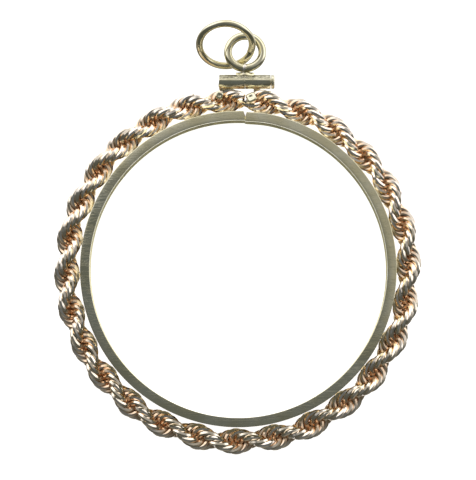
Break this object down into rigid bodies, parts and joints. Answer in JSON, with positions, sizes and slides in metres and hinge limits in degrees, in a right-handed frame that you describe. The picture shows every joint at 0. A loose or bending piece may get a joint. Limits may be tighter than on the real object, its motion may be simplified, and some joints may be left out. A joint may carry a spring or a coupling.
{
  "type": "empty rope-edged screw-top coin mount pendant",
  "caption": "Round gold coin mount for a pendant: a split channel band with a rope-chain edge, a screw-closed barrel on top, a soldered ring and a loose ring for a chain. It holds no coin.",
  "frame": {"origin": "centre of the coin's seat, half way between the front and back lips", "axes": "+Z out of the face that shows the coin, square to the coin; +Y from the coin's centre towards the barrels and the hanging rings"},
  "size_m": [0.039, 0.0459, 0.0049],
  "materials": {
    "yellow_gold": "polished greenish yellow gold with fine wear scratches",
    "pale_gold": "bright polished pale yellow gold wire",
    "rose_gold": "bright polished rose gold wire"
  },
  "bodies": {
    "mount": {"bezel_band": "yellow_gold", "rope_edge": "rose_gold", "left_barrel": "yellow_gold", "right_barrel": "yellow_gold", "bail_ring": "pale_gold", "jump_ring": "pale_gold"},
    "screw": {"closing_screw": "pale_gold"}
  },
  "joints": [
    {"name": "screw_turn", "type": "hinge", "parent": "mount", "child": "screw", "pos_m": [0.0008, 0.0202, 0], "axis": [1, 0, 0], "continuous": true}
  ]
}
